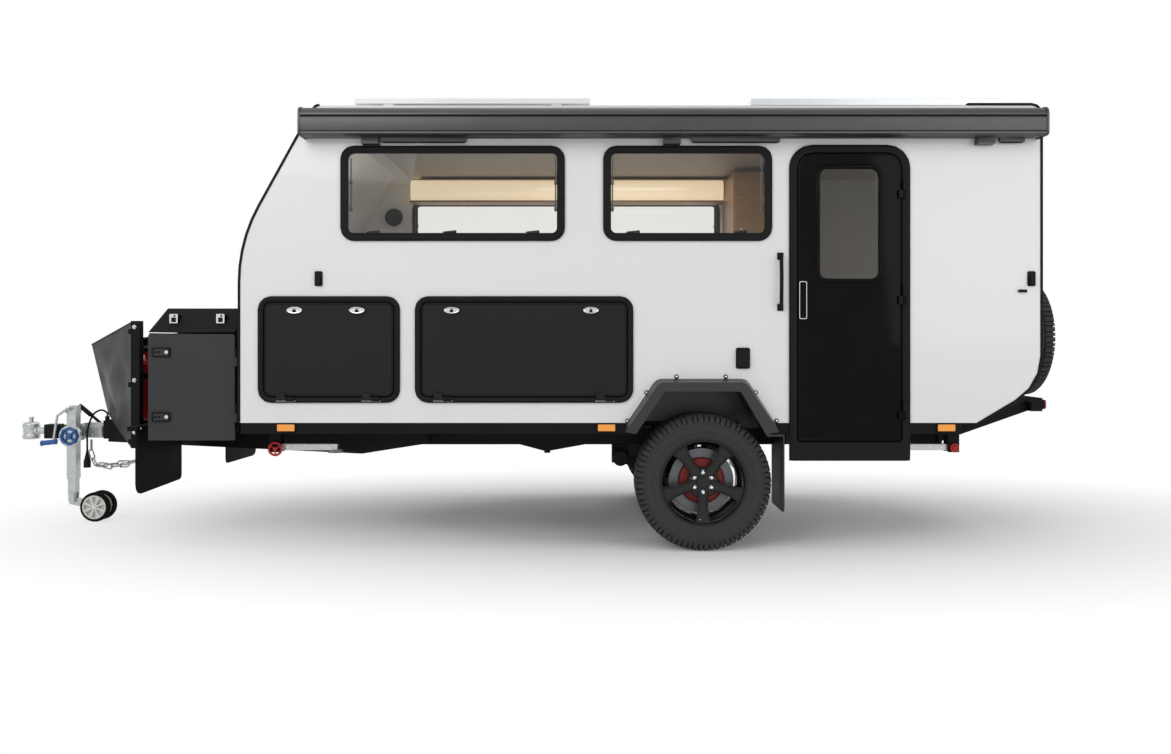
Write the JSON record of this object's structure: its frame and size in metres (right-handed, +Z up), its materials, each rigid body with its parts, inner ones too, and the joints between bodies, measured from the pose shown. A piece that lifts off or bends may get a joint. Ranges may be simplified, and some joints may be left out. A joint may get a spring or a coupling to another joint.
{
  "type": "off-road hybrid caravan",
  "caption": "Towed off-road caravan with sloped nose, drawbar with coupling and jockey wheel, front box, side awning, opening door and hatches.",
  "frame": {"origin": "on the ground under the middle of the whole outline", "axes": "+X to the rear of the van, the coupling at -X; +Z up; the entry door's side at -Y"},
  "size_m": [6.8237, 2.309, 2.634],
  "materials": {
    "body_white": "smooth white composite panel",
    "painted_steel": "black satin paint",
    "black_trim": "matt black moulding",
    "black_plastic": "grained black plastic",
    "gloss_black": "gloss black",
    "acrylic": "tinted acrylic",
    "zinc": "galvanised",
    "tyre": "matt black",
    "rubber": "matt black",
    "vinyl": "black vinyl sheet",
    "red_can": "red enamel",
    "anthracite": "anthracite anodised",
    "panel_alu": "bare aluminium frame",
    "joinery": "light timber laminate",
    "mattress": "pale quilted cover"
  },
  "bodies": {
    "van": {"awning_case": "anthracite", "bed": "mattress", "chassis": "painted_steel", "coupling": "zinc", "door_frame": "black_trim", "drawbar": "painted_steel", "far_wall": "body_white", "flare_far": "black_plastic", "flare_near": "black_plastic", "floor": "body_white", "front_box": "painted_steel", "front_flaps": "rubber", "front_wall": "body_white", "galley": "joinery", "grab_handle": "black_plastic", "hatch_frame_front": "black_trim", "hatch_frame_rear": "black_trim", "jerry_can": "red_can", "jockey_column": "zinc", "near_wall": "body_white", "nose_trim": "black_trim", "rear_bumper": "painted_steel", "rear_wall": "body_white", "rim_spare": "gloss_black", "roof": "body_white", "safety_chains": "zinc", "solar_panel": "panel_alu", "stone_guard_sheet": "vinyl", "suspension": "painted_steel", "tail_trim": "black_trim", "trailer_lead": "rubber", "trailer_plug": "black_plastic", "tyre_spare": "tyre", "water_tank": "black_plastic", "window_frame_far_front": "black_trim", "window_frame_far_rear": "black_trim", "window_frame_near_front": "black_trim", "window_frame_near_rear": "black_trim", "window_pane_far_front": "acrylic", "window_pane_far_rear": "acrylic", "window_pane_near_front": "acrylic", "window_pane_near_rear": "acrylic"},
    "wheel_near": {"tyre_near": "tyre", "rim_near": "gloss_black"},
    "wheel_far": {"tyre_far": "tyre", "rim_far": "gloss_black"},
    "entry_door": {"door_leaf": "gloss_black", "door_glass": "acrylic"},
    "hatch_front": {"hatch_door_front": "black_trim"},
    "hatch_rear": {"hatch_door_rear": "black_trim"},
    "box_door_near": {"front_box_door_near": "painted_steel"},
    "box_door_far": {"front_box_door_far": "painted_steel"},
    "box_lid": {"front_box_lid": "painted_steel"},
    "steady_front_near": {"steady_front_near": "zinc"},
    "steady_front_far": {"steady_front_far": "zinc"},
    "steady_rear_near": {"steady_rear_near": "zinc"},
    "steady_rear_far": {"steady_rear_far": "zinc"},
    "jockey_leg": {"jockey_leg": "zinc"},
    "jockey_fork": {"jockey_fork": "zinc"},
    "jockey_wheels": {"jockey_wheels": "rubber"}
  },
  "joints": [
    {"name": "wheel_near_spin", "type": "hinge", "parent": "van", "child": "wheel_near", "pos_m": [1.0625, -0.93, 0.388], "axis": [0, 1, 0], "continuous": true},
    {"name": "wheel_far_spin", "type": "hinge", "parent": "van", "child": "wheel_far", "pos_m": [1.0625, 0.93, 0.388], "axis": [0, 1, 0], "continuous": true},
    {"name": "entry_door_hinge", "type": "hinge", "parent": "van", "child": "entry_door", "pos_m": [2.192, -1.075, 1.4], "axis": [0, 0, 1], "range_deg": [0, 175]},
    {"name": "hatch_front_hinge", "type": "hinge", "parent": "van", "child": "hatch_front", "pos_m": [-1.0608, -1.074, 0.87], "axis": [1, 0, 0], "range_deg": [0, 90]},
    {"name": "hatch_rear_hinge", "type": "hinge", "parent": "van", "child": "hatch_rear", "pos_m": [0.04505, -1.074, 0.87], "axis": [1, 0, 0], "range_deg": [0, 90]},
    {"name": "box_door_near_hinge", "type": "hinge", "parent": "van", "child": "box_door_near", "pos_m": [-1.602, -1.01, 0.93], "axis": [0, 0, 1], "range_deg": [0, 90]},
    {"name": "box_door_far_hinge", "type": "hinge", "parent": "van", "child": "box_door_far", "pos_m": [-1.602, 1.01, 0.93], "axis": [0, 0, -1], "range_deg": [0, 90]},
    {"name": "box_lid_hinge", "type": "hinge", "parent": "van", "child": "box_lid", "pos_m": [-1.604, 0, 1.379], "axis": [0, 1, 0], "range_deg": [0, 75]},
    {"name": "jockey_leg_slide", "type": "slide", "parent": "van", "child": "jockey_leg", "axis": [0, 0, 1], "range_m": [-0.15, 0.085]},
    {"name": "jockey_fork_swivel", "type": "hinge", "parent": "jockey_leg", "child": "jockey_fork", "pos_m": [-3.017, -0.125, 0.16], "axis": [0, 0, 1], "continuous": true},
    {"name": "jockey_wheels_spin", "type": "hinge", "parent": "jockey_fork", "child": "jockey_wheels", "pos_m": [-2.85, -0.125, 0.0975], "axis": [0, 1, 0], "continuous": true},
    {"name": "steady_front_near_pivot", "type": "hinge", "parent": "van", "child": "steady_front_near", "pos_m": [-1.42, -0.86, 0.575], "axis": [0, 1, 0], "range_deg": [0, 90]},
    {"name": "steady_front_far_pivot", "type": "hinge", "parent": "van", "child": "steady_front_far", "pos_m": [-1.42, 0.86, 0.575], "axis": [0, 1, 0], "range_deg": [0, 90]},
    {"name": "steady_rear_near_pivot", "type": "hinge", "parent": "van", "child": "steady_rear_near", "pos_m": [2.54, -0.86, 0.575], "axis": [0, -1, 0], "range_deg": [0, 90]},
    {"name": "steady_rear_far_pivot", "type": "hinge", "parent": "van", "child": "steady_rear_far", "pos_m": [2.54, 0.86, 0.575], "axis": [0, -1, 0], "range_deg": [0, 90]}
  ]
}
